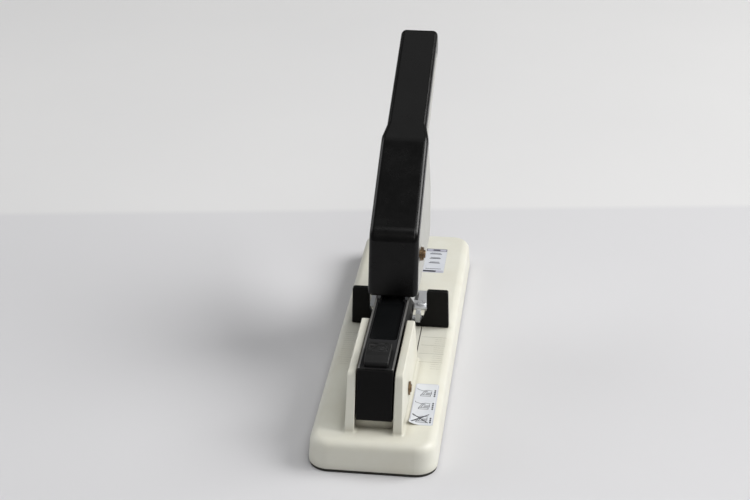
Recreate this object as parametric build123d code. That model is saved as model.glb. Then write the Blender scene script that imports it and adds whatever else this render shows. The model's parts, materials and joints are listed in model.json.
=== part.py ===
from build123d import *
import math
import os

# Heavy-duty lever stapler. Millimetres. +X is to the right seen from the rear, +Y runs
# forward to the end where paper goes in, +Z is up. The origin is the middle of the
# underside, on the surface that the stapler stands on.

# ---- driving dimensions ----------------------------------------------------------------
BASE_LENGTH = 269.0
BASE_WIDTH = 73.6
BASE_CORNER = 12.3
BASE_TOP = 19.0
BASE_DRAFT = 4.0
BASE_WALL = 2.6
TOP_ROUNDING = 5.0
MAT_THICKNESS = 2.0
MAT_INSET = 0.5
PLATE_THICKNESS = 1.2

CHEEK_INNER = 11.0
CHEEK_OUTER = 15.8
CHEEK_FOOT = 16.5
CHEEK_TOP = 52.2
FOOT_FILLET = 2.0
CLIP_X = 16.95

ARM_PIVOT_Y = -86.0
ARM_PIVOT_Z = 28.5
PIN_RADIUS = 2.5
RUNNING_FIT = 0.06
ARM_HALF = 10.2
ARM_WALL = 1.0
ARM_FLOOR = 32.0
ARM_TOP = 54.5
COVER_BOTTOM = 50.5
COVER_TOP = 54.2
ARM_RIVETS = ((-20.0, 38.0), (-8.0, 38.0))

CAP_BOTTOM = 25.8
CAP_Y = -119.3
CAP_LEAN = 7.8 / 27.7
CAP_THICKNESS = 1.8
CAP_INNER_Y = -108.2
ROD_Z = 44.0
ROD_RADIUS = 1.5
PUSHER_REAR = -34.5

KEY_Y = -97.5
KEY_HALF = 6.9
KEY_LENGTH = 20.4
KEY_TOP = 59.2
KEY_TRAVEL = 1.4
KEY_FLOOR = COVER_TOP - 2.9

STAPLE_Y = 39.5
STAPLE_HALF = 6.5
STAPLE_TOP = 50.0
STAPLE_LEG = 15.0
STRIP_REAR = -16.2
STRIP_FRONT = 38.4
NOSE_FRONT = 46.0

HANDLE_PIVOT_Y = -13.0
HANDLE_PIVOT_Z = 78.5
DRIVE_ARM = STAPLE_Y - 0.5 - HANDLE_PIVOT_Y
HANDLE_SWING = 20.0
DRIVE_PIN_Y = HANDLE_PIVOT_Y + DRIVE_ARM
DRIVE_PIN_Z = HANDLE_PIVOT_Z + DRIVE_ARM * math.tan(math.radians(HANDLE_SWING / 2))
HANDLE_TILT = 26.0
TOP_EDGE = 3.0
SKIRT_WALL = 1.1
SIDE_INSET = 0.2
SIDE_WALL = 1.9
BEND = (-20.5, 94.5)
SHOULDER = (36.0, 131.1)
GRIP_END = (127.5, 171.2)
SIDE_RIVETS = ((-3.4, 99.6), (30.0, 121.0))

GUIDE_REAR = 2.6
GUIDE_FRONT = GUIDE_REAR + 3.4
GUIDE_HALF = 30.6
GUIDE_OFFSET = 1.3
GUIDE_TOP = 44.2
SLOT_X = 15.1
SLOT_HALF = 0.3
RULE_STEP = 10.0
RULE_COUNT = 4

FIXING_Y = 110.0
FIXING_X = 24.0
ANVIL_SCREW = (12.5, 29.5)


# ---- helpers ---------------------------------------------------------------------------
def profile_yz(points, x_low, x_high, radii=0.0):
    """A plate with its outline in the YZ plane, between two values of X."""
    if isinstance(radii, (int, float)) and radii == 0:
        line = Polyline(*points, close=True)
    else:
        line = FilletPolyline(*points, radius=radii, close=True)
    return extrude(Plane.YZ.offset(x_low) * make_face(line), amount=x_high - x_low)


def both_sides(solid):
    """A solid and its mirror image across the middle plane, as one group."""
    return solid + mirror(solid, about=Plane.YZ)


def block(x_low, x_high, y_low, y_high, z_low, z_high):
    size = (x_high - x_low, y_high - y_low, z_high - z_low)
    centre = ((x_low + x_high) / 2, (y_low + y_high) / 2, (z_low + z_high) / 2)
    return Pos(*centre) * Box(*size)


def rod_x(radius, x_low, x_high, y, z):
    return Pos((x_low + x_high) / 2, y, z) * Rot(0, 90, 0) * Cylinder(radius, x_high - x_low)


def rod_y(radius, y_low, y_high, x, z):
    return Pos(x, (y_low + y_high) / 2, z) * Rot(90, 0, 0) * Cylinder(radius, y_high - y_low)


def rod_z(radius, z_low, z_high, x, y):
    return Pos(x, y, (z_low + z_high) / 2) * Cylinder(radius, z_high - z_low)


def coil(mean_radius, wire_radius, length, turns):
    """A compression spring along +Z from z = 0, with its wire kept inside the length."""
    height = length - 2 * wire_radius
    path = Helix(height / turns, height, mean_radius)
    section = Plane(path @ 0, z_dir=path % 0) * Circle(wire_radius)
    return Pos(0, 0, wire_radius) * sweep(section, path=path)


def retaining_clip(inner, outer, thickness, opening):
    """An E-clip in the YZ plane, open downwards, with three prongs that reach the pin's groove."""
    ring = Rot(0, 90, 0) * (Cylinder(outer, thickness) - Cylinder(outer - 0.95, 2 * thickness))
    for turn in (0, 105, -105):
        prong = block(-thickness / 2, thickness / 2, -0.75, 0.75, 0, outer - 0.5)
        ring += Rot(turn, 0, 0) * prong
    ring -= Rot(0, 90, 0) * Cylinder(inner, 2 * thickness)
    return ring - block(-thickness, thickness, -opening / 2, opening / 2, -2 * outer, -inner / 2)


def rounded_slab(width, length, corner, z_low, z_high, taper=0.0):
    outline = Pos(0, 0, z_low) * RectangleRounded(width, length, corner)
    return extrude(outline, amount=z_high - z_low, taper=taper)


# ---- base ------------------------------------------------------------------------------
def fixing_points():
    return [(sx * FIXING_X, sy * FIXING_Y) for sx in (-1, 1) for sy in (-1, 1)]


def base_body():
    body = rounded_slab(BASE_WIDTH, BASE_LENGTH, BASE_CORNER, MAT_THICKNESS, BASE_TOP, BASE_DRAFT)
    body = fillet(body.edges().group_by(Axis.Z)[-1], TOP_ROUNDING)
    inner_corner = BASE_CORNER - BASE_WALL
    body -= rounded_slab(BASE_WIDTH - 2 * BASE_WALL, BASE_LENGTH - 2 * BASE_WALL, inner_corner,
                         MAT_THICKNESS, BASE_TOP - BASE_WALL, BASE_DRAFT)
    for x, y in fixing_points():
        body += rod_z(4.2, MAT_THICKNESS + PLATE_THICKNESS, BASE_TOP - 1.0, x, y)
        body -= rod_z(1.55, MAT_THICKNESS, BASE_TOP - 5.0, x, y)
    return body


def cheek():
    """One upright of the rear fork, its outer face drafted out towards the foot."""
    low = BASE_TOP - 0.6
    points = [(-122.5, low), (-111.0, CHEEK_TOP), (-47.5, CHEEK_TOP), (-36.0, low)]
    plate = profile_yz(points, CHEEK_INNER, CHEEK_FOOT + 1, [0.5, 4.0, 3.0, 0.5])
    section = Polyline((CHEEK_INNER, low - 1), (CHEEK_FOOT, low - 1), (CHEEK_OUTER, CHEEK_TOP + 1),
                       (CHEEK_INNER, CHEEK_TOP + 1), close=True)
    plate &= extrude(Plane.XZ.offset(20) * make_face(section), amount=120)
    rim = [edge for edge in plate.edges() if edge.center().Z > BASE_TOP + 4]
    return fillet(rim, 0.7)


def ruled_lines():
    """Fine engraved marks for the depth of the staple: a long one, then three faint short ones."""
    marks = []
    for index in range(RULE_COUNT):
        y = -RULE_STEP * (index + 1)
        marks.append(block(16.6, 32.5, y - 0.15, y + 0.15, BASE_TOP - 0.1, BASE_TOP + 1))
        for quarter in (1, 2, 3):
            short = y - quarter * RULE_STEP / 4
            marks.append(block(25.0, 31.0, short - 0.08, short + 0.08, BASE_TOP - 0.06, BASE_TOP + 1))
    return marks


def base_shell():
    shell = base_body() + both_sides(cheek())
    foot = [edge for edge in shell.edges()
            if abs(edge.center().Z - BASE_TOP) < 0.05 and 9 < abs(edge.center().X) < 17
            and -124 < edge.center().Y < -34]
    shell = fillet(foot, FOOT_FILLET)
    shell += block(-CHEEK_INNER, CHEEK_INNER, -115.0, -111.0, BASE_TOP - 0.5, 24.5)
    shell -= rod_x(PIN_RADIUS + 0.02, -20, 20, ARM_PIVOT_Y, ARM_PIVOT_Z)
    for side in (-1, 1):
        slot = side * SLOT_X
        shell -= block(slot - SLOT_HALF, slot + SLOT_HALF, -34.0, 24.0, BASE_TOP - 4, BASE_TOP + 1)
        shell -= rod_z(1.27, BASE_TOP - 4, BASE_TOP + 1, side * ANVIL_SCREW[0], ANVIL_SCREW[1])
    for mark in ruled_lines():
        shell -= mark
        shell -= mirror(mark, about=Plane.YZ)
    return shell


def bottom_plate():
    plate = rounded_slab(BASE_WIDTH - 2 * BASE_WALL - 0.7, BASE_LENGTH - 2 * BASE_WALL - 0.7,
                         BASE_CORNER - BASE_WALL - 0.35, MAT_THICKNESS, MAT_THICKNESS + PLATE_THICKNESS)
    for x, y in fixing_points():
        plate -= rod_z(1.6, 0, 5, x, y)
    return plate


def rubber_mat():
    mat = rounded_slab(BASE_WIDTH - 2 * MAT_INSET, BASE_LENGTH - 2 * MAT_INSET,
                       BASE_CORNER - MAT_INSET, 0, MAT_THICKNESS)
    for x, y in fixing_points():
        mat -= rod_z(4.5, -1, 3, x, y)
    return mat


def base_screws():
    group = None
    for x, y in fixing_points():
        screw = rod_z(3.1, MAT_THICKNESS - 1.3, MAT_THICKNESS, x, y)
        screw += rod_z(1.5, MAT_THICKNESS - 0.1, 12.0, x, y)
        screw -= block(x - 2.4, x + 2.4, y - 0.4, y + 0.4, 0, MAT_THICKNESS - 0.8)
        screw -= block(x - 0.4, x + 0.4, y - 2.4, y + 2.4, 0, MAT_THICKNESS - 0.8)
        group = screw if group is None else group + screw
    return group


def anvil_plate():
    """Zinc-plated plate round the anvil."""
    plate = extrude(Pos(0, 36.0, BASE_TOP + 0.02) * RectangleRounded(42, 24, 3), amount=1.2)
    plate -= block(-9.2, 9.2, 34.8, 44.2, BASE_TOP - 1, BASE_TOP + 3)
    for side in (-1, 1):
        plate -= rod_z(1.35, BASE_TOP - 1, BASE_TOP + 3, side * ANVIL_SCREW[0], ANVIL_SCREW[1])
    return fillet(plate.edges().group_by(Axis.Z)[-1], 0.3)


def anvil_screws():
    x, y = ANVIL_SCREW
    screw = rod_z(2.9, BASE_TOP + 1.22, BASE_TOP + 2.6, x, y)
    screw = fillet(screw.edges().group_by(Axis.Z)[-1], 0.6)
    screw += rod_z(1.25, BASE_TOP - 5, BASE_TOP + 1.4, x, y)
    screw -= block(x - 2.1, x + 2.1, y - 0.4, y + 0.4, BASE_TOP + 1.9, BASE_TOP + 4)
    screw -= block(x - 0.4, x + 0.4, y - 2.1, y + 2.1, BASE_TOP + 1.9, BASE_TOP + 4)
    return both_sides(screw)


def anvil_block():
    """Hardened clincher with two hollows that turn the staple legs inwards."""
    die = block(-9.0, 9.0, 35.0, 44.0, BASE_TOP + 0.02, BASE_TOP + 2.0)
    die = fillet(die.edges().group_by(Axis.Z)[-1], 0.5)
    for side in (-1, 1):
        die -= rod_y(3.4, STAPLE_Y - 1.0, STAPLE_Y + 1.0, side * 4.0, BASE_TOP + 4.4)
    return die


def rear_pivot_pin():
    end = CLIP_X + 1.05
    pin = rod_x(PIN_RADIUS, -end, end, ARM_PIVOT_Y, ARM_PIVOT_Z)
    pin = chamfer(pin.edges(), 0.4)
    for side in (-1, 1):
        groove = rod_x(4, side * CLIP_X - 0.45, side * CLIP_X + 0.45, ARM_PIVOT_Y, ARM_PIVOT_Z)
        pin -= groove - rod_x(1.9, -20, 20, ARM_PIVOT_Y, ARM_PIVOT_Z)
    return pin


def rear_pivot_clips():
    clip = Pos(CLIP_X, ARM_PIVOT_Y, ARM_PIVOT_Z) * Rot(12, 0, 0) * retaining_clip(1.95, 4.0, 0.8, 2.6)
    return both_sides(clip)


def lift_spring():
    return Pos(0, -60, BASE_TOP) * coil(5.0, 0.6, ARM_FLOOR - BASE_TOP, 5)


def instruction_label():
    return extrude(Pos(25.5, -87.4, BASE_TOP) * RectangleRounded(13.8, 44.5, 1.4), amount=0.12)


def front_label():
    return extrude(Pos(15.0, 93.2, BASE_TOP) * RectangleRounded(14.4, 34.8, 0.8), amount=0.12)


# ---- paper guide -----------------------------------------------------------------------
def on_ear_rim(edge):
    """True for the edges round the top and the outer side of an ear's rear face."""
    middle = edge.center()
    on_outline = abs(middle.X) > 28 or middle.Z > GUIDE_TOP - 0.8
    return middle.Y < GUIDE_REAR + 0.1 and middle.Z > BASE_TOP + 2 and on_outline


def paper_guide():
    low = BASE_TOP + 0.1
    ears = None
    for side in (-1, 1):
        outer = GUIDE_HALF + side * GUIDE_OFFSET
        points = [(10.9, low), (outer, low), (outer - 0.7, GUIDE_TOP), (17.9, GUIDE_TOP), (17.9, 30.5),
                  (14.1, 21.6), (10.9, 21.6)]
        outline = FilletPolyline(*[(side * x, z) for x, z in points],
                                 radius=[0.4, 0.8, 1.4, 1.4, 2.0, 0, 0.4], close=True)
        ear = extrude(Plane.XZ.offset(-GUIDE_REAR) * make_face(outline), amount=GUIDE_REAR - GUIDE_FRONT)
        ear = fillet(ear.edges().filter_by(on_ear_rim), 0.6)
        ears = ear if ears is None else ears + ear
    foot = block(-28.0, 28.0, GUIDE_REAR + 0.4, 14.0, low, low + 1.6)
    foot = fillet(foot.edges().filter_by(Axis.Z), 2.0)
    heel = GUIDE_FRONT - 0.2
    brace = profile_yz([(heel, low + 1.5), (heel + 7.0, low + 1.5), (heel, 33.0)], 22.5, 25.0)
    guide = foot + ears + both_sides(brace)
    return guide - block(-SLOT_X - 0.45, SLOT_X + 0.45, 4.0, 12.0, low - 1, low + 0.6)


def guide_bracket():
    """Zinc-plated strap that clamps the guide, turned up on each side of the arm."""
    low = BASE_TOP + 1.72
    front = GUIDE_FRONT + 3.0
    strap = block(-13.9, 13.9, GUIDE_FRONT + 0.6, GUIDE_FRONT + 5.6, low, low + 1.0)
    upright = block(10.9, 13.9, GUIDE_FRONT + 0.05, front, low, 28.0)
    upright += block(10.9, 13.9, GUIDE_REAR + 0.6, front, 21.65, 28.0)
    upright = fillet(upright.edges().group_by(Axis.Z)[-1], 0.6)
    return strap + both_sides(upright)


def guide_slider():
    """Spring-steel slider under the base top, with two tongues up through the slots."""
    under = BASE_TOP - BASE_WALL - 0.15
    slider = block(-20.0, 20.0, 2.0, 14.0, under - 1.0, under)
    for side in (-1, 1):
        tongue = SLOT_HALF - RUNNING_FIT
        slot = side * SLOT_X
        slider += block(slot - tongue, slot + tongue, 4.2, 11.8, under - 0.5, BASE_TOP + 0.5)
    return slider


# ---- arm and magazine ------------------------------------------------------------------
def cap_y(z):
    """Where the sloping rear face of the arm lies at a height."""
    return CAP_Y + (z - CAP_BOTTOM) * CAP_LEAN


def arm_channel():
    """Folded steel channel that swings on the rear pin and carries the magazine."""
    rear = CAP_THICKNESS + 0.1
    wall_points = [(cap_y(26.0) + rear, 26.0), (-92.0, 24.0), (-80.5, 24.0), (-77.0, ARM_FLOOR),
                   (8.0, ARM_FLOOR), (-23.5, ARM_TOP), (cap_y(ARM_TOP) + rear, ARM_TOP)]
    wall = profile_yz(wall_points, ARM_HALF - ARM_WALL, ARM_HALF, [0.5, 3, 3, 3, 1, 1, 0.5])
    floor = block(-ARM_HALF + 0.5, ARM_HALF - 0.5, -112.0, 4.0, ARM_FLOOR, ARM_FLOOR + ARM_WALL)
    channel = both_sides(wall) + floor
    channel -= rod_x(PIN_RADIUS + RUNNING_FIT, -20, 20, ARM_PIVOT_Y, ARM_PIVOT_Z)
    for y, z in ARM_RIVETS:
        channel -= rod_x(1.52, -20, 20, y, z)
    return channel


def pivot_washers():
    ring = rod_x(5.0, ARM_HALF + 0.05, CHEEK_INNER - 0.05, ARM_PIVOT_Y, ARM_PIVOT_Z)
    ring -= rod_x(PIN_RADIUS + RUNNING_FIT, 0, 20, ARM_PIVOT_Y, ARM_PIVOT_Z)
    return both_sides(ring)


def arm_cover():
    """Moulded top of the arm, set between the channel walls, with a long sunk panel."""
    inner = ARM_HALF - ARM_WALL - 0.1
    start = CAP_THICKNESS + 0.1
    points = [(cap_y(COVER_BOTTOM) + start, COVER_BOTTOM), (cap_y(COVER_TOP) + start, COVER_TOP),
              (-27.6, COVER_TOP), (-27.6, COVER_BOTTOM)]
    cover = profile_yz(points, -inner, inner) + block(-7.4, 7.4, -31.0, 27.0, COVER_BOTTOM, COVER_TOP)
    rear_panel = Pos(0, -52.5, COVER_TOP - 1.2) * RectangleRounded(16.4, 48.0, 2.4)
    front_panel = Pos(0, -6.0, COVER_TOP - 1.2) * RectangleRounded(13.0, 60.0, 2.4)
    cover -= extrude(rear_panel, amount=3) + extrude(front_panel, amount=3)
    pocket = Pos(0, KEY_Y, KEY_FLOOR) * RectangleRounded(2 * KEY_HALF + 0.5, KEY_LENGTH + 0.5, 1.2)
    cover -= extrude(pocket, amount=5)
    return cover


def release_key():
    """Push key in the arm cover, hollow underneath for its spring."""
    rear = KEY_Y - KEY_LENGTH / 2
    front = KEY_Y + KEY_LENGTH / 2
    bottom = KEY_FLOOR + KEY_TRAVEL + 0.1
    points = [(rear, bottom), (rear, KEY_TOP - 1.6), (rear + 5.4, KEY_TOP), (front, KEY_TOP), (front, bottom)]
    key = profile_yz(points, -KEY_HALF, KEY_HALF)
    key = fillet(key.edges().filter_by(Axis.Z), 1.0)
    key = fillet(key.edges().filter_by(lambda e: e.center().Z > KEY_TOP - 1.7), 0.4)
    key -= block(-KEY_HALF + 1.5, KEY_HALF - 1.5, rear + 1.5, front - 1.5, bottom - 1, KEY_TOP - 2.6)
    for index in range(5):
        y = front - 2.2 - 2.0 * index
        key -= block(-KEY_HALF + 1.4, KEY_HALF - 1.4, y - 0.35, y + 0.35, KEY_TOP - 0.35, KEY_TOP + 1)
    return key


def key_spring():
    return Pos(0, KEY_Y, KEY_FLOOR) * coil(2.6, 0.3, KEY_TOP - 2.6 - KEY_FLOOR, 5)


def staple_rail():
    """Inverted channel under the staple crowns, hollow for the pusher rod."""
    rail = block(-5.4, 5.4, -30.5, STRIP_FRONT + 0.2, ARM_FLOOR + ARM_WALL, STAPLE_TOP - 0.75)
    return rail - block(-4.4, 4.4, -31, STRIP_FRONT + 1, ARM_FLOOR, STAPLE_TOP - 1.9)


def nose_plate():
    return block(-7.5, 7.5, 4.2, STRIP_FRONT + 0.2, ARM_FLOOR, ARM_FLOOR + ARM_WALL)


def staple_strip():
    """A glued strip of staples: crowns along the top and two curtains of legs."""
    strip = block(-STAPLE_HALF, STAPLE_HALF, STRIP_REAR, STRIP_FRONT, STAPLE_TOP - STAPLE_LEG, STAPLE_TOP)
    inner = STAPLE_HALF - 0.6
    strip -= block(-inner, inner, STRIP_REAR - 1, STRIP_FRONT + 1, 0, STAPLE_TOP - 0.6)
    return strip


def head_plate(side):
    """Zinc-plated side plate of the head, from the arm up to the handle's pivot."""
    points = [(-28.0, 34.0), (-26.0, 56.0), (-20.8, 77.0), (-17.5, 86.0), (30.0, 90.0), (NOSE_FRONT, 84.0),
              (NOSE_FRONT, ARM_FLOOR), (9.5, ARM_FLOOR), (7.5, 34.0)]
    plate = profile_yz(points, 7.6, 9.1, [1, 4, 6, 4.5, 3, 4, 1, 1, 1])
    plate -= rod_x(PIN_RADIUS + 0.02, 0, 20, HANDLE_PIVOT_Y, HANDLE_PIVOT_Z)
    plate -= block(0, 20, DRIVE_PIN_Y - 3.0, DRIVE_PIN_Y + 3.8, DRIVE_PIN_Z - 22.0, 100)
    for y, z in ARM_RIVETS:
        plate -= rod_x(1.52, 0, 20, y, z)
    return plate if side > 0 else mirror(plate, about=Plane.YZ)


def arm_rivets():
    group = None
    for y, z in ARM_RIVETS:
        rivet = rod_x(1.5, 6.9, ARM_HALF + 0.3, y, z) + rod_x(2.4, 6.9, 7.5, y, z)
        head = rod_x(2.4, ARM_HALF + 0.02, ARM_HALF + 0.7, y, z)
        rivet += fillet(head.edges().group_by(Axis.X)[-1], 0.4)
        group = rivet if group is None else group + rivet
    return both_sides(group)


def front_plate():
    return block(-7.5, 7.5, NOSE_FRONT - 1.2, NOSE_FRONT, ARM_FLOOR, 80.0)


def driver_guide_front():
    return block(-7.4, 7.4, STAPLE_Y + 0.65, NOSE_FRONT - 1.25, ARM_FLOOR, 52.8)


def driver_guide_rear():
    return block(-7.4, 7.4, 27.4, 33.0, 52.0, 84.0)


def driver_block():
    """Slide that the drive pin pushes down, with the blade set in it."""
    low = 72.0
    body = block(-7.35, 7.35, 33.2, 44.5, low, 96.0)
    body = fillet(body.edges().group_by(Axis.Z)[-1], 1.0)
    radius = PIN_RADIUS + RUNNING_FIT + 0.04
    drift = 0.9
    for y in (DRIVE_PIN_Y, DRIVE_PIN_Y + drift):
        body -= rod_x(radius, -10, 10, y, DRIVE_PIN_Z)
    body -= block(-10, 10, DRIVE_PIN_Y, DRIVE_PIN_Y + drift, DRIVE_PIN_Z - radius, DRIVE_PIN_Z + radius)
    return body - block(-6.35, 6.35, STAPLE_Y - 0.52, STAPLE_Y + 0.52, low - 1, low + 8.1)


def driver_blade():
    return block(-6.3, 6.3, STAPLE_Y - 0.5, STAPLE_Y + 0.5, STAPLE_TOP + 1.3, 80.0)


def handle_pivot_pin():
    pin = rod_x(PIN_RADIUS, -15.0, 18.4, HANDLE_PIVOT_Y, HANDLE_PIVOT_Z)
    pin = chamfer(pin.edges(), 0.4)
    groove = rod_x(4, 16.55, 17.4, HANDLE_PIVOT_Y, HANDLE_PIVOT_Z)
    return pin - (groove - rod_x(1.9, 0, 30, HANDLE_PIVOT_Y, HANDLE_PIVOT_Z))


def handle_pivot_washer():
    ring = rod_x(4.3, 15.5, 16.3, HANDLE_PIVOT_Y, HANDLE_PIVOT_Z)
    return ring - rod_x(PIN_RADIUS + 0.03, 0, 30, HANDLE_PIVOT_Y, HANDLE_PIVOT_Z)


def handle_pivot_clip():
    clip = retaining_clip(1.95, 4.1, 0.75, 2.6)
    return Pos(16.97, HANDLE_PIVOT_Y, HANDLE_PIVOT_Z) * Rot(-20, 0, 0) * clip


def return_spring():
    """Winding of the spring round the handle's pin."""
    return Pos(-6.3, HANDLE_PIVOT_Y, HANDLE_PIVOT_Z) * Rot(0, 90, 0) * coil(4.0, 0.7, 12.6, 7)


# ---- magazine drawer -------------------------------------------------------------------
def rear_cap():
    """Sloping plate that closes the rear of the arm, with a plug that carries the pusher rod."""
    top = COVER_TOP
    points = [(CAP_Y, CAP_BOTTOM), (cap_y(top), top), (cap_y(top) + CAP_THICKNESS, top),
              (CAP_Y + CAP_THICKNESS, CAP_BOTTOM)]
    plate = profile_yz(points, -ARM_HALF, ARM_HALF)
    outer = [edge for edge in plate.edges() if edge.center().Y < cap_y(edge.center().Z) + 0.3]
    plate = fillet(outer, 0.6)
    low, high = 33.4, 50.2
    points = [(cap_y(low) + 1, low), (cap_y(high) + 1, high), (CAP_INNER_Y, high), (CAP_INNER_Y, low)]
    plug = profile_yz(points, -8.95, 8.95)
    return plate + plug - rod_y(ROD_RADIUS + 0.02, -113.0, -100.0, 0, ROD_Z)


def pusher_rod():
    return rod_y(ROD_RADIUS, -113.0, -18.0, 0, ROD_Z)


def pusher_spring():
    length = PUSHER_REAR - CAP_INNER_Y
    return Pos(0, PUSHER_REAR, ROD_Z) * Rot(90, 0, 0) * coil(2.7, 0.35, length, 16)


def staple_pusher():
    """Sprung follower that keeps the strip against the front of the magazine."""
    body = block(-6.3, 6.3, PUSHER_REAR, STRIP_REAR - 0.1, STAPLE_TOP - STAPLE_LEG + 0.2, STAPLE_TOP)
    body -= block(-5.65, 5.65, -31.0, 0, 0, STAPLE_TOP - 0.6)
    return body - rod_y(ROD_RADIUS + RUNNING_FIT, -50, 0, 0, ROD_Z)


# ---- handle ----------------------------------------------------------------------------
def tilted(height):
    """Plane along the handle, with its own x axis running up it and z = 0 through the bend."""
    angle = math.radians(HANDLE_TILT)
    along = Vector(0, math.cos(angle), math.sin(angle))
    up = Vector(0, -math.sin(angle), math.cos(angle))
    return Plane(origin=Vector(0, *BEND) + up * height, x_dir=along, z_dir=up)


def handle_width(inset):
    """Plan outline of the handle: broad over the head, then a short shoulder to the grip."""
    half = [(-45.0, 15.3), (71.0, 14.6), (81.5, 12.4), (169.0, 12.0)]
    right = [(along, width - inset) for along, width in half]
    left = [(along, -(width - inset)) for along, width in reversed(half)]
    tip = 0 if inset else 6
    outline = make_face(FilletPolyline(*right, *left, radius=[0, 5, 5, tip, tip, 5, 5, 0], close=True))
    return extrude(tilted(-90) * outline, amount=140)


def handle_outside():
    points = [(-28.5, 56.3), BEND, SHOULDER, GRIP_END, (133.3, 165.3), (130.0, 155.5),
              (66.0, 124.0), (60.5, 112.0), (60.5, 61.0), (54.5, 56.0)]
    radii = [0, 12.0, 30.0, 4.0, 3.0, 3.0, 12.0, 12.0, 5.0, 5.0]
    return profile_yz(points, -20, 20, radii)


def handle_inside():
    points = [(-29.66, 40.0), (-18.3, 92.9), (36.9, 128.6), (127.6, 168.7), (126.6, 160.0),
              (124.0, 120.0), (60.0, 40.0), (20.0, 40.0)]
    radii = [0, 9.8, 28.0, 2.0, 2.0, 0, 0, 0]
    return profile_yz(points, -20, 20, radii)


def below_skirt(gap):
    """Everything below the lower edge of the moulded cover, drawn back from it by a gap."""
    points = [(-25.4, 50.0), (-18.6, 88.0), (39.1, 125.4), (118.0, 159.9), (122.5, 157.0), (121.0, 148.0),
              (140.0, 20.0), (-28.0, 20.0)]
    zone = profile_yz(points, -20, 20, [0, 7.0, 25.0, 4.0, 3.0, 0, 0, 0])
    return (Pos(0, gap, -gap) * zone) & (Pos(0, -gap, -gap) * zone)


def rise(start, end):
    return (end[1] - start[1]) / (end[0] - start[0])


def on_top(edge):
    """True for the edges that run along both sides of the handle's top face."""
    middle = edge.center()
    slope = rise(BEND, SHOULDER) if middle.Y < SHOULDER[0] else rise(SHOULDER, GRIP_END)
    line = SHOULDER[1] + (middle.Y - SHOULDER[0]) * slope
    return abs(middle.X) > 8 and abs(middle.Z - line) < 2.5 and middle.Y > -17


def behind(edge):
    """True for the edges that run down both sides of the handle's rear face."""
    middle = edge.center()
    return abs(middle.X) > 8 and middle.Y < -17 and 56 < middle.Z < 96


def handle_cover():
    """Black moulding over the top, the rear and the tip of the lever, with a short skirt."""
    outside = handle_outside() & handle_width(0)
    outside = fillet(outside.edges().filter_by(on_top), TOP_EDGE)
    outside = fillet(outside.edges().filter_by(behind), 0.8)
    return outside - (handle_inside() & handle_width(SKIRT_WALL)) - below_skirt(0)


def handle_side(side):
    """Painted side plate of the lever, joggled in under the skirt of the cover."""
    wall = handle_width(SIDE_INSET) - handle_width(SIDE_INSET + SIDE_WALL)
    under_cover = handle_outside() & (Pos(0, 0.05, -0.05) * handle_inside())
    full = under_cover & wall & block(0, 20, -40, 125, 40, 180)
    plate = (full & handle_width(SKIRT_WALL + 0.05)) + (full & below_skirt(0.1))
    plate -= rod_x(PIN_RADIUS + RUNNING_FIT, 0, 30, HANDLE_PIVOT_Y, HANDLE_PIVOT_Z)
    for y, z in SIDE_RIVETS:
        plate -= rod_x(1.62, 0, 30, y, z)
    return plate if side > 0 else mirror(plate, about=Plane.YZ)


def handle_lever():
    """Steel fork inside the handle, from the pivot to the drive pin, with a web on top."""
    points = [(-20.0, 76.0), (-13.0, 71.0), (0.0, 74.0), (32.0, 80.5), (45.5, 81.5), (46.5, 94.0),
              (40.0, 128.0), (-12.0, 94.2)]
    cheeks = both_sides(profile_yz(points, 9.4, 11.2, [5, 5, 8, 5, 5, 5, 2, 4]))
    web = profile_yz([(-4.0, 97.3), (38.2, 124.6), (37.2, 126.2), (-5.0, 98.9)], -9.5, 9.5)
    fork = cheeks + web
    fork -= rod_x(PIN_RADIUS + RUNNING_FIT, -30, 30, HANDLE_PIVOT_Y, HANDLE_PIVOT_Z)
    fork -= rod_x(PIN_RADIUS + 0.02, -30, 30, DRIVE_PIN_Y, DRIVE_PIN_Z)
    for y, z in SIDE_RIVETS:
        fork -= rod_x(1.62, -30, 30, y, z)
    return fork


def handle_core():
    """Channel that stiffens the grip, fixed under the web of the fork."""
    outer = [(13.0, 108.1), (38.4, 124.5), (56.0, 132.2), (112.0, 156.8), (108.5, 147.0), (60.0, 125.5),
             (44.0, 117.5), (19.5, 104.5)]
    inner = [(13.8, 106.5), (39.0, 122.9), (56.6, 130.5), (113.0, 155.3), (130.0, 100.0), (20.0, 60.0)]
    return profile_yz(outer, -8.0, 8.0) - profile_yz(inner, -6.5, 6.5)


def drive_pin():
    return chamfer(rod_x(PIN_RADIUS, -11.8, 11.8, DRIVE_PIN_Y, DRIVE_PIN_Z).edges(), 0.3)


def handle_rivets():
    """Rivets with a collar between the fork and each side plate, hidden by the cover's skirt."""
    group = None
    for y, z in SIDE_RIVETS:
        rivet = rod_x(1.6, 9.0, 13.5, y, z) + rod_x(2.2, 11.25, 12.4, y, z)
        group = rivet if group is None else group + rivet
    return both_sides(group)


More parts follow.
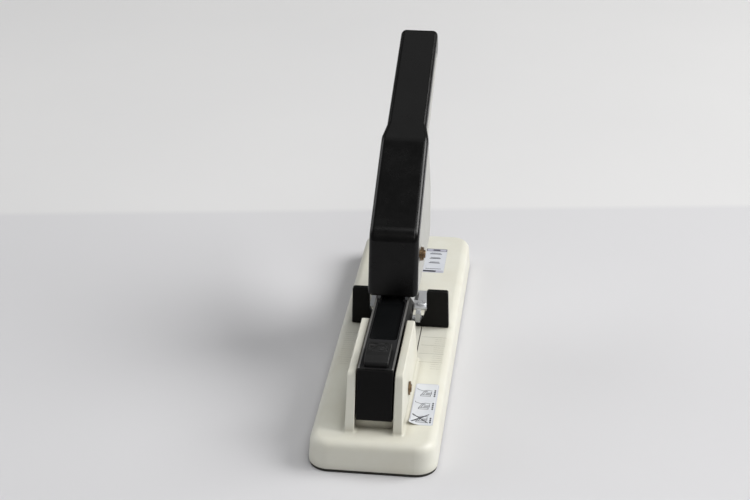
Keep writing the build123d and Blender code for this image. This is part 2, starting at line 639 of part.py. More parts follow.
# ---- export ----------------------------------------------------------------------------
NODES = {
    "base_shell": base_shell, "bottom_plate": bottom_plate, "rubber_mat": rubber_mat,
    "base_screws": base_screws, "anvil_plate": anvil_plate, "anvil_block": anvil_block,
    "anvil_screws": anvil_screws, "rear_pivot_pin": rear_pivot_pin,
    "rear_pivot_clips": rear_pivot_clips, "lift_spring": lift_spring,
    "instruction_label": instruction_label, "front_label": front_label,
    "paper_guide": paper_guide, "guide_bracket": guide_bracket, "guide_slider": guide_slider,
    "arm_channel": arm_channel, "pivot_washers": pivot_washers, "arm_cover": arm_cover,
    "key_spring": key_spring, "staple_rail": staple_rail, "nose_plate": nose_plate,
    "staple_strip": staple_strip, "arm_rivets": arm_rivets, "front_plate": front_plate,
    "head_plate_left": lambda: head_plate(-1), "head_plate_right": lambda: head_plate(1),
    "driver_guide_front": driver_guide_front, "driver_guide_rear": driver_guide_rear,
    "handle_pivot_pin": handle_pivot_pin, "handle_pivot_washer": handle_pivot_washer,
    "handle_pivot_clip": handle_pivot_clip, "return_spring": return_spring,
    "release_key": release_key, "driver_block": driver_block, "driver_blade": driver_blade,
    "rear_cap": rear_cap, "pusher_rod": pusher_rod, "pusher_spring": pusher_spring,
    "staple_pusher": staple_pusher, "handle_cover": handle_cover, "handle_lever": handle_lever,
    "handle_side_left": lambda: handle_side(-1), "handle_side_right": lambda: handle_side(1),
    "handle_core": handle_core, "drive_pin": drive_pin, "handle_rivets": handle_rivets,
}

os.makedirs("parts", exist_ok=True)
for name, make in NODES.items():
    export_step(make(), os.path.join("parts", name + ".step"))
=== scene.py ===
"""Looks for the heavy-duty lever stapler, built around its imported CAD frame.

Metres. +X is to the right seen from the rear, +Y runs forward, +Z is up.
"""

import json
import math

import bmesh
import bpy
from mathutils import Matrix, Vector


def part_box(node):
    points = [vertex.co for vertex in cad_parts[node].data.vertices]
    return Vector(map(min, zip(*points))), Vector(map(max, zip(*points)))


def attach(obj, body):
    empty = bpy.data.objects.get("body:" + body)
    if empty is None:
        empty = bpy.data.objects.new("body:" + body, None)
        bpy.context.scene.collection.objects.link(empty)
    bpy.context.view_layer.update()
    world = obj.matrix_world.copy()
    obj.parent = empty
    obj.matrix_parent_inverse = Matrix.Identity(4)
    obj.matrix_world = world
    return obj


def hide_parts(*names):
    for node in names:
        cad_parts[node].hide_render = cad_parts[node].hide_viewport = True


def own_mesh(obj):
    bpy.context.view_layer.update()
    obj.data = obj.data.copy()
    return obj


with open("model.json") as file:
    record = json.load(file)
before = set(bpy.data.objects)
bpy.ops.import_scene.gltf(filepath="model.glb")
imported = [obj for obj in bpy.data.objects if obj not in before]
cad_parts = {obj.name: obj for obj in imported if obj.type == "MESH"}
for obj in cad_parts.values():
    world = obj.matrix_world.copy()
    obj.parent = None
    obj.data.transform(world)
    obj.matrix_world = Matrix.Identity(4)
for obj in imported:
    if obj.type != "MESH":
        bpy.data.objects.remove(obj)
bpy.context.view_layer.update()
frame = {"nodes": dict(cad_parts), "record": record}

FLOOR_HALF = 4.0
TABLE_END = 0.2097
TABLE_TURN = 8.05
STICKER = 0.00011
PRINT_LIFT = 0.00002
SHEET_GRID = (36, 96)
PEEL_REACH = 0.0060
PEEL_CURL = 0.35


# ---- node helpers ----------------------------------------------------------------------
class Surface:
    """A Principled material and short calls for the nodes that drive it."""

    def __init__(self, name):
        self.material = bpy.data.materials.new(name)
        self.material.use_nodes = True
        self.nodes = self.material.node_tree.nodes
        self.links = self.material.node_tree.links
        self.shader = self.nodes["Principled BSDF"]
        self.place = self.nodes.new("ShaderNodeTexCoord").outputs["Object"]

    def link(self, source, target):
        if isinstance(source, bpy.types.NodeSocket):
            self.links.new(source, target)
        else:
            target.default_value = source

    def set(self, **values):
        for name, value in values.items():
            self.link(value, self.shader.inputs[name.replace("_", " ")])
        return self

    def noise(self, scale, detail=3.0, rough=0.5, stretch=(1, 1, 1), offset=0.0):
        """Noise with about `scale` features to the metre, drawn out along an axis by `stretch`."""
        mapping = self.nodes.new("ShaderNodeMapping")
        mapping.inputs["Scale"].default_value = stretch
        mapping.inputs["Location"].default_value = (offset, offset, offset)
        self.links.new(self.place, mapping.inputs["Vector"])
        node = self.nodes.new("ShaderNodeTexNoise")
        node.inputs["Scale"].default_value = scale
        node.inputs["Detail"].default_value = detail
        node.inputs["Roughness"].default_value = rough
        self.links.new(mapping.outputs["Vector"], node.inputs["Vector"])
        return node.outputs["Fac"]

    def along(self, axis):
        """The "X", "Y" or "Z" coordinate of a point on the object, in metres."""
        split = self.nodes.new("ShaderNodeSeparateXYZ")
        self.links.new(self.place, split.inputs[0])
        return split.outputs[axis]

    def math(self, operation, first, second=0.0):
        node = self.nodes.new("ShaderNodeMath")
        node.operation = operation
        node.use_clamp = True
        self.link(first, node.inputs[0])
        self.link(second, node.inputs[1])
        return node.outputs[0]

    def spread(self, source, low, high, out_low=0.0, out_high=1.0):
        """Maps low..high of the source on to out_low..out_high, held at both ends."""
        node = self.nodes.new("ShaderNodeMapRange")
        node.inputs["From Min"].default_value = low
        node.inputs["From Max"].default_value = high
        node.inputs["To Min"].default_value = out_low
        node.inputs["To Max"].default_value = out_high
        self.links.new(source, node.inputs["Value"])
        return node.outputs["Result"]

    def blend(self, factor, first, second):
        node = self.nodes.new("ShaderNodeMix")
        node.data_type = "RGBA"
        self.link(factor, node.inputs["Factor"])
        self.link(first, node.inputs["A"])
        self.link(second, node.inputs["B"])
        return node.outputs["Result"]

    def edges(self, radius, low=0.02, high=0.25):
        """One along edges and zero on open faces, from how far a bevelled normal turns; it places edge
        wear and painted edge highlights.
        """
        bevel = self.nodes.new("ShaderNodeBevel")
        bevel.samples = 4
        bevel.inputs["Radius"].default_value = radius
        flat = self.nodes.new("ShaderNodeNewGeometry").outputs["Normal"]
        dot = self.nodes.new("ShaderNodeVectorMath")
        dot.operation = "DOT_PRODUCT"
        self.links.new(bevel.outputs["Normal"], dot.inputs[0])
        self.links.new(flat, dot.inputs[1])
        return self.spread(self.math("SUBTRACT", 1.0, dot.outputs["Value"]), low, high)

    def hollows(self, distance, low=0.3, high=0.95):
        """One deep in corners and zero in the open."""
        node = self.nodes.new("ShaderNodeAmbientOcclusion")
        node.samples = 6
        node.inputs["Distance"].default_value = distance
        return self.spread(node.outputs["AO"], low, high, 1.0, 0.0)

    def bump(self, height, depth, strength=1.0, under=None):
        node = self.nodes.new("ShaderNodeBump")
        node.inputs["Strength"].default_value = strength
        node.inputs["Distance"].default_value = depth
        self.links.new(height, node.inputs["Height"])
        if under is not None:
            self.links.new(under, node.inputs["Normal"])
        return node.outputs["Normal"]


def srgb(red, green, blue):
    """A colour given as 0 to 255 screen values."""
    def linear(value):
        value = value / 255
        return value / 12.92 if value <= 0.04045 else ((value + 0.055) / 1.055) ** 2.4
    return (linear(red), linear(green), linear(blue), 1.0)


# ---- materials -------------------------------------------------------------------------
def plastic(name, colour, tint, rough, grain, depth, edge_wear_and_highlight=None, edge_size=0.0004, dirt_and_hollow_shade=None, gloss=0.5):
    """Moulded plastic or paint: slow tint changes, fine grain, lighter edges that are partly wear and
    partly painted highlight, and a corner colour that is painted shade with some real grime and dust.
    """
    s = Surface(name)
    tone = s.blend(s.spread(s.noise(28, 4, 0.6), 0.35, 0.68), colour, tint)
    speck = s.spread(s.noise(1900, 2, 0.5, offset=3.0), 0.60, 0.80, 0.0, 0.35)
    tone = s.blend(speck, tone, tint)
    roughness = s.spread(s.noise(95, 5, 0.65), 0.3, 0.7, rough[0], rough[1])
    # Lighter colour along the edges: partly wear, partly a painted highlight along the rounded edges.
    if edge_wear_and_highlight is not None:
        wear_and_highlight_mask = s.edges(edge_size)
        patchy = s.math("MULTIPLY", wear_and_highlight_mask, s.spread(s.noise(420, 4, 0.7, offset=1.0), 0.38, 0.62))
        tone = s.blend(patchy, tone, edge_wear_and_highlight)
    # Colour in corners and creases from an occlusion mask: painted shade where it is darker, real grime
    # where brownish, dust where lighter.
    if dirt_and_hollow_shade is not None:
        tone = s.blend(s.math("MULTIPLY", s.hollows(0.006), 0.7), tone, dirt_and_hollow_shade)
    wave = s.bump(s.noise(36, 2, 0.4, offset=7.0), 0.00012, 0.5)
    s.set(Base_Color=tone, Roughness=roughness, Specular_IOR_Level=gloss,
          Normal=s.bump(s.noise(grain, 3, 0.6), depth, 0.7, wave))
    return s


def metal(name, colour, tint, rough, stretch, scale=900, spots=None, metallic=1.0):
    """Plated or bare steel: drawn streaks, cloudy tint, small stains, brighter rubbed edges."""
    s = Surface(name)
    streak = s.noise(scale, 5, 0.7, stretch)
    tone = s.blend(s.spread(s.noise(60, 5, 0.65, offset=2.0), 0.35, 0.7), colour, tint)
    tone = s.blend(s.spread(streak, 0.45, 0.75, 0.0, 0.45), tone, tint)
    if spots is not None:
        stain = s.spread(s.noise(260, 6, 0.75, offset=5.0), 0.58, 0.70, 0.0, 0.8)
        tone = s.blend(stain, tone, spots)
    bright = tuple(min(1.0, 1.25 * value) for value in colour[:3]) + (1.0,)
    tone = s.blend(s.math("MULTIPLY", s.edges(0.0003), 0.8), tone, bright)
    roughness = s.spread(streak, 0.3, 0.7, rough[0], rough[1])
    s.set(Metallic=metallic, Base_Color=tone, Roughness=roughness,
          Normal=s.bump(streak, 0.00002, 0.6, s.bump(s.noise(70, 2), 0.0001, 0.35)))
    return s


# Darker hollow colours are painted shade, with brownish grime on the cream and lever paint; the rubber's
# lighter hollow colour is dust.
# Edge colours lighter than the body below are painted highlights along the edges, partly wear on the cream
# and the rubber.
cream_shell = plastic("cream_moulding", srgb(228, 228, 217), srgb(222, 220, 206),
                      rough=(0.34, 0.46), grain=1500, depth=0.00003,
                      edge_wear_and_highlight=srgb(236, 236, 228), edge_size=0.0006, dirt_and_hollow_shade=srgb(120, 112, 92))
# The handle's lighter edge colour is a painted highlight along its rounded top edges.
handle_black = plastic("handle_black", srgb(3, 3, 3), srgb(7, 7, 7),
                       rough=(0.20, 0.30), grain=1300, depth=0.000008,
                       edge_wear_and_highlight=srgb(40, 39, 38), edge_size=0.0009, gloss=0.30)
lever_paint = plastic("lever_paint", srgb(184, 184, 180), srgb(176, 176, 170),
                      rough=(0.40, 0.54), grain=1100, depth=0.00003,
                      edge_wear_and_highlight=srgb(232, 232, 228), edge_size=0.0005, dirt_and_hollow_shade=srgb(128, 124, 112))
black_plastic = plastic("fine_black_plastic", srgb(6, 6, 6), srgb(11, 10, 10),
                        rough=(0.38, 0.50), grain=2400, depth=0.00005,
                        edge_wear_and_highlight=srgb(104, 102, 99), edge_size=0.0006, dirt_and_hollow_shade=srgb(4, 4, 4), gloss=0.17)
key_black = plastic("key_black", srgb(24, 24, 24), srgb(34, 34, 34),
                    rough=(0.36, 0.5), grain=2600, depth=0.00006,
                    edge_wear_and_highlight=srgb(128, 128, 128), edge_size=0.0005, dirt_and_hollow_shade=srgb(8, 8, 8), gloss=0.3)
rubber = plastic("moulded_rubber", srgb(24, 24, 24), srgb(40, 39, 37),
                 rough=(0.75, 0.92), grain=1700, depth=0.0001,
                 edge_wear_and_highlight=srgb(62, 61, 59), edge_size=0.0005, dirt_and_hollow_shade=srgb(70, 67, 60))
nylon = plastic("natural_nylon", srgb(205, 203, 192), srgb(190, 186, 170),
                rough=(0.4, 0.55), grain=1200, depth=0.00003)
zinc = metal("bright_zinc", srgb(222, 223, 224), srgb(198, 201, 205),
             rough=(0.34, 0.52), stretch=(1, 0.06, 1), spots=srgb(176, 178, 180), metallic=0.6)
zinc_upright = metal("bright_zinc_upright", srgb(222, 223, 224), srgb(200, 203, 207),
                     rough=(0.34, 0.52), stretch=(1, 1, 0.06), spots=srgb(178, 180, 183), metallic=0.6)
hardened = metal("hardened_steel", srgb(150, 150, 150), srgb(120, 118, 116),
                 rough=(0.28, 0.45), stretch=(0.08, 1, 1))
yellow_zinc = metal("yellow_zinc", srgb(150, 128, 100), srgb(104, 80, 60),
                    rough=(0.26, 0.42), stretch=(1, 1, 1), scale=700, spots=srgb(52, 38, 32))
spring_steel = metal("spring_steel", srgb(150, 150, 152), srgb(110, 108, 106),
                     rough=(0.25, 0.4), stretch=(1, 1, 1), scale=1400)
dark_steel = metal("blackened_steel", srgb(92, 92, 95), srgb(70, 70, 73),
                   rough=(0.35, 0.55), stretch=(1, 0.08, 1), spots=srgb(50, 48, 47))
staple_wire = metal("staple_wire", srgb(200, 201, 203), srgb(170, 172, 176),
                    rough=(0.22, 0.36), stretch=(0.08, 1, 1))


def worn_paint_with_highlight():
    """Black paint on folded steel, rubbed through to bright metal along the arm's top edges; this bright
    strip is also a painted highlight for the light those edges would catch.
    """
    s = Surface("black_paint_wear_and_highlight")
    tone = s.blend(s.spread(s.noise(40, 4, 0.6), 0.35, 0.7), srgb(12, 12, 13), srgb(18, 18, 19))
    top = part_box("arm_channel")[1].z
    # A bright band along the top of the walls and their edges: bare metal where the paint is rubbed off,
    # and partly a painted highlight.
    rubbed_and_highlight_strip = s.math("MAXIMUM", s.spread(s.along("Z"), top - 0.0005, top - 0.0002),
                    s.edges(0.0004, 0.05, 0.25))
    wear_and_highlight_mask = s.math("MULTIPLY", rubbed_and_highlight_strip, s.spread(s.noise(300, 4, 0.7, (1, 0.08, 1)), 0.26, 0.55, 0.25, 1.0))
    tone = s.blend(wear_and_highlight_mask, tone, srgb(176, 175, 172))
    s.set(Base_Color=tone, Metallic=s.math("MULTIPLY", wear_and_highlight_mask, 0.85),
          Roughness=s.spread(s.noise(120, 5), 0.3, 0.7, 0.34, 0.48),
          Normal=s.bump(s.noise(900, 3), 0.00003, 0.5), Specular_IOR_Level=0.16)
    return s


def cover_plastic():
    """The arm's moulded top: greyish and finely textured round a smooth, deep black sunk panel."""
    # Its lighter edge colour is a painted highlight and its darker hollow colour is painted shade.
    s = plastic("arm_cover_black", srgb(34, 34, 35), srgb(42, 42, 43),
                rough=(0.34, 0.46), grain=2600, depth=0.00005,
                edge_wear_and_highlight=srgb(80, 80, 80), edge_size=0.0004, dirt_and_hollow_shade=srgb(10, 10, 10), gloss=0.3)
    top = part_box("arm_cover")[1].z
    sunk = s.spread(s.along("Z"), top - 0.0009, top - 0.0006, 1.0, 0.0)
    frame_tone = s.shader.inputs["Base Color"].links[0].from_socket
    frame_rough = s.shader.inputs["Roughness"].links[0].from_socket
    deep = s.blend(s.spread(s.noise(30, 3), 0.35, 0.7), srgb(12, 13, 14), srgb(17, 18, 19))
    smooth = s.spread(s.noise(60, 4), 0.3, 0.7, 0.16, 0.24)
    mixed = s.nodes.new("ShaderNodeMix")
    s.link(sunk, mixed.inputs["Factor"])
    s.link(frame_rough, mixed.inputs["A"])
    s.link(smooth, mixed.inputs["B"])
    return s.set(Base_Color=s.blend(sunk, frame_tone, deep), Roughness=mixed.outputs["Result"])


def paper(name, colour, tint):
    """Coated sticker stock with a slight fibre and a faint cockle."""
    s = Surface(name)
    tone = s.blend(s.spread(s.noise(120, 4, 0.6), 0.35, 0.7), colour, tint)
    s.set(Base_Color=tone, Roughness=s.spread(s.noise(700, 3), 0.3, 0.7, 0.32, 0.5),
          Normal=s.bump(s.noise(2600, 4, 0.7), 0.00002, 0.4, s.bump(s.noise(110, 2), 0.00012, 0.5)))
    return s


def ink(name, colour, tint):
    """Printed ink, with small gaps and grey patches where it took less well."""
    s = Surface(name)
    tone = s.blend(s.spread(s.noise(2200, 3, 0.7), 0.42, 0.7), colour, tint)
    s.set(Base_Color=tone, Roughness=s.spread(s.noise(500, 3), 0.3, 0.7, 0.35, 0.55),
          Normal=s.bump(s.noise(3000, 2), 0.00001, 0.4))
    return s


black_steel = worn_paint_with_highlight()
cover_black = cover_plastic()
label_white = paper("label_paper", srgb(218, 221, 226), srgb(210, 214, 221))
ink_black = ink("printed_black", srgb(28, 28, 34), srgb(96, 98, 112))
ink_grey = ink("printed_grey", srgb(178, 178, 192), srgb(200, 201, 212))

SLOT_SURFACE = {
    "cream_shell": cream_shell, "zinc_steel": zinc, "rubber": rubber, "hardened_steel": hardened,
    "yellow_zinc": yellow_zinc, "spring_steel": spring_steel, "label": label_white,
    "black_plastic": black_plastic, "black_steel": black_steel, "nylon": nylon,
    "staple_wire": staple_wire, "dark_steel": dark_steel, "handle_black": handle_black,
    "lever_paint": lever_paint,
}
OWN_SURFACE = {
    "head_plate_left": zinc_upright, "head_plate_right": zinc_upright, "guide_bracket": zinc_upright,
    "arm_cover": cover_black, "release_key": key_black, "arm_rivets": black_steel,
}

for part in frame["record"]["subparts"]:
    node = frame["nodes"][part["node"]]
    surface = OWN_SURFACE.get(part["node"], SLOT_SURFACE[part["material_slot"]])
    node.data.materials.clear()
    node.data.materials.append(surface.material)


# ---- mesh helpers ----------------------------------------------------------------------
def add_piece(name, mesh, surface):
    """Turns a finished bmesh into an object with its material."""
    data = bpy.data.meshes.new(name)
    mesh.to_mesh(data)
    mesh.free()
    data.materials.append(surface.material)
    piece = bpy.data.objects.new(name, data)
    bpy.context.scene.collection.objects.link(piece)
    return piece


def flat_strokes(name, strokes, surface, height):
    """Printed lines as flat strips. Each stroke is (width, [points]) in metres."""
    mesh = bmesh.new()
    for width, points in strokes:
        for start, end in zip(points, points[1:]):
            start, end = Vector(start), Vector(end)
            along = (end - start).normalized()
            side = Vector((-along.y, along.x)) * width / 2
            reach = along * width / 2
            corners = [start - reach - side, end + reach - side, end + reach + side, start - reach + side]
            mesh.faces.new([mesh.verts.new((c.x, c.y, height(c.x, c.y))) for c in corners])
    return add_piece(name, mesh, surface)


def base_height(x, y):
    """Height of the base's surface under a point, so that stickers follow its rounded edge."""
    shell = frame["nodes"]["base_shell"]
    hit, place, _, _ = shell.ray_cast(Vector((x, y, 0.1)), Vector((0, 0, -1)))
    return place.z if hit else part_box("front_label")[0].z


def label_sheet(name, low, high, corner, lift):
    """A thin sticker between two corners, as a fine grid that lies on the base and curls by lift(x, y)."""
    columns, rows = SHEET_GRID
    mesh = bmesh.new()
    grid = []
    for row in range(rows + 1):
        line = []
        for column in range(columns + 1):
            x = low.x + (high.x - low.x) * column / columns
            y = low.y + (high.y - low.y) * row / rows
            line.append(mesh.verts.new(round_corner(x, y, low, high, corner)))
        grid.append(line)
    for row in range(rows):
        for column in range(columns):
            near, far = grid[row], grid[row + 1]
            mesh.faces.new((near[column], near[column + 1], far[column + 1], far[column]))
    for vertex in mesh.verts:
        vertex.co.z = base_height(vertex.co.x, vertex.co.y) + STICKER + lift(vertex.co.x, vertex.co.y)
    piece = add_piece(name, mesh, label_white)
    thick = piece.modifiers.new("thickness", "SOLIDIFY")
    thick.thickness = STICKER
    thick.offset = -1.0
    return piece


def round_corner(x, y, low, high, corner):
    """Draws a grid point in to the sticker's rounded outline where it lies past a corner's arc."""
    near_x = min(max(x, low.x + corner), high.x - corner)
    near_y = min(max(y, low.y + corner), high.y - corner)
    reach = math.hypot(x - near_x, y - near_y)
    square = max(abs(x - near_x), abs(y - near_y))
    if reach < 1e-9:
        return (x, y, 0)
    shrink = square / reach
    return (near_x + (x - near_x) * shrink, near_y + (y - near_y) * shrink, 0)


# ---- rear label ------------------------------------------------------------------------
def rear_lift(x, y):
    """The corner next to the rear cheek has come unstuck and curls up."""
    low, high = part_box("instruction_label")
    away = (x - low.x) * 0.8 + (y - low.y) * 0.6
    peeled = max(0.0, PEEL_REACH - away)
    return PEEL_CURL * peeled ** 2 / PEEL_REACH


def pictogram(origin, size, crossed):
    """A generic little stapler in thin lines: base, arm, lever and a sheet of paper."""
    def at(u, v):
        return (origin[0] + u * size, origin[1] + v * size)

    thin, bold = size * 0.034, size * 0.062
    lines = [
        (thin, [at(0.30, 0.10), at(0.85, 0.10), at(0.85, 0.24), at(0.30, 0.24), at(0.30, 0.10)]),
        (thin, [at(0.34, 0.28), at(0.46, 0.62), at(0.62, 0.66)]),
        (thin, [at(0.44, 0.28), at(0.54, 0.56), at(0.66, 0.60)]),
        (thin, [at(0.10, 0.80), at(0.40, 0.66), at(0.62, 0.74), at(0.92, 0.70)]),
        (thin, [at(0.58, 0.30), at(0.90, 0.34), at(0.88, 0.60)]),
        (thin, [at(0.60, 0.38), at(0.84, 0.41)]),
        (thin, [at(0.60, 0.46), at(0.84, 0.49)]),
        (thin, [at(0.04, 0.90), at(0.08, 0.84)]),
    ]
    if crossed:
        lines.append((bold, [at(0.05, 0.08), at(0.95, 0.92)]))
        lines.append((bold, [at(0.05, 0.92), at(0.95, 0.08)]))
    return lines


def rear_label():
    """Three generic pictures in a column, the nearest crossed out, with a few dashes beside each."""
    low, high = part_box("instruction_label")
    sheet = label_sheet("label_rear", low, high, 0.0016, rear_lift)
    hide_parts("instruction_label")
    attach(sheet, "base")
    size, pitch = 0.0102, 0.0140
    dash_width, dash_length, dash_pitch = 0.0009, 0.0006, 0.0020
    dash_x = high.x - 0.0018
    strokes = []
    for index in range(3):
        crossed = index == 0
        foot = low.y + 0.0018 + index * pitch
        strokes += pictogram((low.x + 0.0009, foot), size, crossed)
        for dash in range(3 if crossed else 4):
            y = foot + 0.0012 + dash * dash_pitch
            strokes.append((dash_width, [(dash_x, y), (dash_x, y + dash_length)]))
    inset, cut = 0.0004, 0.0012
    border = [(low.x + inset, low.y + 0.0045), (low.x + inset, high.y - cut),
              (low.x + 0.0014, high.y - inset), (high.x - cut, high.y - inset),
              (high.x - inset, high.y - cut), (high.x - inset, low.y + cut)]

    def height(x, y):
        return base_height(x, y) + STICKER + rear_lift(x, y) + PRINT_LIFT

    marks = flat_strokes("label_rear_print", strokes, ink_black, height)
    rim = flat_strokes("label_rear_border", [(0.0003, border)], ink_grey, height)
    for piece in (marks, rim):
        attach(piece, "base")


# ---- front label -----------------------------------------------------------------------
def no_lift(x, y):
    """This sticker lies flat all over."""
    return 0.0


def front_label():
    """A framed band, three blocks of dashes, a line of fine print and a second band, all generic."""
    low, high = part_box("front_label")
    sheet = label_sheet("label_front", low, high, 0.0008, no_lift)
    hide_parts("front_label")
    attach(sheet, "base")
    width = high.x - low.x
    middle = (low.x + high.x) / 2
    left, right = low.x + 0.0005, high.x - 0.0005
    frame_low, frame_high = high.y - 0.0038, high.y - 0.0005
    top_band, bottom_band = high.y - 0.0021, low.y + 0.0019
    frame_line, title = 0.0004, 0.0016
    black = []
    for y in (frame_high, frame_low):
        black.append((frame_line, [(left, y), (right, y)]))
    for x in (left, right):
        black.append((frame_line, [(x, frame_low), (x, frame_high)]))
    grey = [(0.0030, [(low.x + 0.0020, top_band), (high.x - 0.0020, top_band)]),
            (0.0026, [(low.x + 0.0018, bottom_band), (high.x - 0.0018, bottom_band)])]
    black.append((title, [(middle - title, top_band), (middle + title, top_band)]))
    for dash in range(5):
        x = low.x + 0.0017 + dash * 0.00145
        black.append((0.0021, [(x, bottom_band), (x + 0.0005, bottom_band)]))
    for row, half in enumerate((0.26, 0.24, 0.24)):
        lower = high.y - 0.0078 - row * 0.0066
        upper = lower + 0.0014
        heading = [(middle - width * (half - 0.04), upper), (middle + width * (half - 0.06), upper)]
        black.append((0.0005, heading))
        for dash in range(6):
            x = middle - width * half + dash * width * half / 3
            black.append((0.0009, [(x, lower), (x + width * half / 4.2, lower)]))
    fine_print = low.y + 0.0054
    for dash in range(8):
        x = low.x + 0.0022 + dash * 0.0013
        black.append((0.0006, [(x, fine_print), (x + 0.0005, fine_print)]))

    def band_height(x, y):
        return base_height(x, y) + STICKER + PRINT_LIFT

    def mark_height(x, y):
        return band_height(x, y) + PRINT_LIFT

    marks = flat_strokes("label_front_print", black, ink_black, mark_height)
    bands = flat_strokes("label_front_bands", grey, ink_grey, band_height)
    for piece in (marks, bands):
        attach(piece, "base")


rear_label()
front_label()


# ---- staples ---------------------------------------------------------------------------
def staple_run():
    """The strip as separate wires: each a flattened crown with two legs, glued side by side."""
    low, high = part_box("staple_strip")
    pitch, wire, thick = 0.00098, 0.00092, 0.00058
    count = int((high.y - low.y) / pitch)
    mesh = bmesh.new()
    outline = [(low.x, low.z), (low.x, high.z), (high.x, high.z), (high.x, low.z),
               (high.x - thick, low.z), (high.x - thick, high.z - thick),
               (low.x + thick, high.z - thick), (low.x + thick, low.z)]
    quads = [(0, 1, 6, 7), (1, 2, 5, 6), (2, 3, 4, 5)]
    for index in range(count):
        y = high.y - index * pitch
        rings = [[mesh.verts.new((x, depth, z)) for x, z in outline] for depth in (y - wire, y)]
        for a, b, c, d in quads:
            mesh.faces.new([rings[1][n] for n in (d, c, b, a)])
            mesh.faces.new([rings[0][n] for n in (a, b, c, d)])
        for n in range(len(outline)):
            m = (n + 1) % len(outline)
            mesh.faces.new([rings[0][m], rings[0][n], rings[1][n], rings[1][m]])
    bmesh.ops.recalc_face_normals(mesh, faces=mesh.faces)
    piece = add_piece("staples", mesh, staple_wire)
    rounding = piece.modifiers.new("rounded_wire", "BEVEL")
    rounding.width = 0.00012
    rounding.segments = 2
    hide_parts("staple_strip")
    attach(piece, "arm")


staple_run()


# ---- springs ---------------------------------------------------------------------------
def compression_spring(node, turns, wire, along):
    """A round wire of the given radius, wound along one axis (0, 1 or 2) through the node's box."""
    low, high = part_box(node)
    first, second = [axis for axis in range(3) if axis != along]
    radius = (high[first] - low[first]) / 2 - wire
    length = high[along] - low[along] - 2 * wire
    steps, sides = turns * 28, 8
    mesh = bmesh.new()
    rings = []
    for step in range(steps + 1):
        angle = 2 * math.pi * turns * step / steps
        middle = (low + high) / 2
        middle[along] = low[along] + wire + length * step / steps
        ring = []
        for side in range(sides):
            round_wire = 2 * math.pi * side / sides
            reach = radius + wire * math.cos(round_wire)
            point = middle.copy()
            point[first] += reach * math.cos(angle)
            point[second] += reach * math.sin(angle)
            point[along] += wire * math.sin(round_wire)
            ring.append(mesh.verts.new(point))
        rings.append(ring)
    for start, end in zip(rings, rings[1:]):
        for side in range(sides):
            after = (side + 1) % sides
            mesh.faces.new([start[side], start[after], end[after], end[side]])
    mesh.faces.new(rings[0])
    mesh.faces.new(rings[-1][::-1])
    bmesh.ops.recalc_face_normals(mesh, faces=mesh.faces)
    piece = add_piece(node + "_wire", mesh, spring_steel)
    for face in piece.data.polygons:
        face.use_smooth = True
    return piece


def fit_springs():
    """Winds a wire in place of each spring and puts it on its body; the joint's travel is worked out, but
    the wire does not shorten with it.
    """
    joints = {joint["name"]: joint for joint in frame["record"]["behaviour"]["joints"]}
    hinge = joints["arm_hinge"]
    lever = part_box("lift_spring")[1].y - hinge["pos_m"][1]
    arm_drop = lever * math.sin(math.radians(hinge["range_deg"][1]))
    springs = (
        ("lift_spring", "base", 5, 0.0006, 2, "arm_hinge", arm_drop),
        ("key_spring", "arm", 5, 0.0003, 2, "key_press", joints["key_press"]["range_m"][1]),
        ("pusher_spring", "drawer", 16, 0.00035, 1, "pusher_slide", joints["pusher_slide"]["range_m"][1]),
    )
    for node, body, turns, wire, along, joint, travel in springs:
        low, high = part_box(node)
        piece = compression_spring(node, turns, wire, along)
        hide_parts(node)
        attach(piece, body)
        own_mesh(piece)


fit_springs()


# ---- floor, light and camera -----------------------------------------------------------
def make_floor():
    """A pale table top that gives way to a slightly lighter ground behind the object."""
    mesh = bmesh.new()
    bmesh.ops.create_grid(mesh, x_segments=8, y_segments=8, size=FLOOR_HALF)
    s = Surface("pale_table")
    behind = s.spread(s.along("Y"), TABLE_END - 0.004, TABLE_END + 0.004)
    tone = s.blend(behind, srgb(218, 218, 220), srgb(228, 228, 228))
    tone = s.blend(s.spread(s.noise(3, 3), 0.3, 0.7, 0.0, 0.15), tone, srgb(205, 205, 208))
    s.set(Base_Color=tone, Roughness=s.spread(s.noise(40, 3), 0.3, 0.7, 0.75, 0.9),
          Normal=s.bump(s.noise(500, 3), 0.00004, 0.3), Specular_IOR_Level=0.15)
    floor = add_piece("floor", mesh, s)
    floor.rotation_euler.z = math.radians(TABLE_TURN)


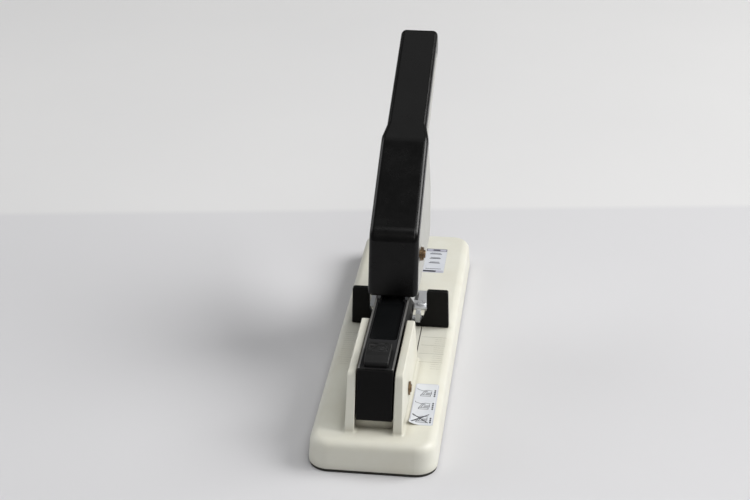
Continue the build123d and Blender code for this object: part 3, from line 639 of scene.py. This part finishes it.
def area_light(name, place, aim, size, power, colour=(1, 1, 1)):
    lamp = bpy.data.lights.new(name, "AREA")
    lamp.shape = "RECTANGLE"
    lamp.size, lamp.size_y = size
    lamp.energy = power
    lamp.color = colour
    light = bpy.data.objects.new(name, lamp)
    light.location = place
    light.rotation_euler = (Vector(aim) - Vector(place)).to_track_quat("-Z", "Y").to_euler()
    bpy.context.scene.collection.objects.link(light)


def make_lights():
    area_light("key_right", (2.45, 0.45, 2.00), (0, 0.0, 0.03), (2.2, 1.8), 92, (1.0, 0.99, 0.98))
    area_light("left_fill", (-2.2, 0.5, 1.3), (0, 0.0, 0.05), (1.6, 1.6), 15, (0.99, 0.99, 1.0))
    area_light("ceiling", (0.0, 0.75, 1.75), (0, 0.0, 0.1), (1.0, 0.8), 1.0, (1.0, 1.0, 1.0))
    area_light("top_fill", (0.5, -0.55, 1.7), (0, 0.1, 0), (1.0, 1.0), 8, (1.0, 1.0, 1.0))
    area_light("camera_fill", (0.3, -1.5, 1.2), (0, 0, 0.05), (0.5, 0.5), 2.0, (1.0, 0.98, 0.95))
    world = bpy.data.worlds.new("studio")
    world.use_nodes = True
    world.node_tree.nodes["Background"].inputs["Color"].default_value = (1.0, 1.0, 1.0, 1.0)
    world.node_tree.nodes["Background"].inputs["Strength"].default_value = 0.15
    bpy.context.scene.world = world


CAMERA_PLACE = (0.1007, -0.8953, 0.5342)
CAMERA_LENS = 79.2
CAMERA_PITCH = 27.08
CAMERA_YAW = 7.30
CAMERA_ROLL = -0.3


def make_camera():
    data = bpy.data.cameras.new("camera")
    data.lens = CAMERA_LENS
    data.sensor_width = 36.0
    data.dof.use_dof = False
    data.clip_start, data.clip_end = 0.05, 30.0
    camera = bpy.data.objects.new("camera", data)
    camera.location = CAMERA_PLACE
    heading = Matrix.Rotation(math.radians(CAMERA_YAW), 4, "Z")
    tilt = Matrix.Rotation(math.radians(90 - CAMERA_PITCH), 4, "X")
    roll = Matrix.Rotation(math.radians(CAMERA_ROLL), 4, "Z")
    camera.rotation_euler = (heading @ tilt @ roll).to_euler()
    bpy.context.scene.collection.objects.link(camera)
    bpy.context.scene.camera = camera


make_floor()
make_lights()
make_camera()
bpy.context.scene.view_settings.view_transform = "Standard"
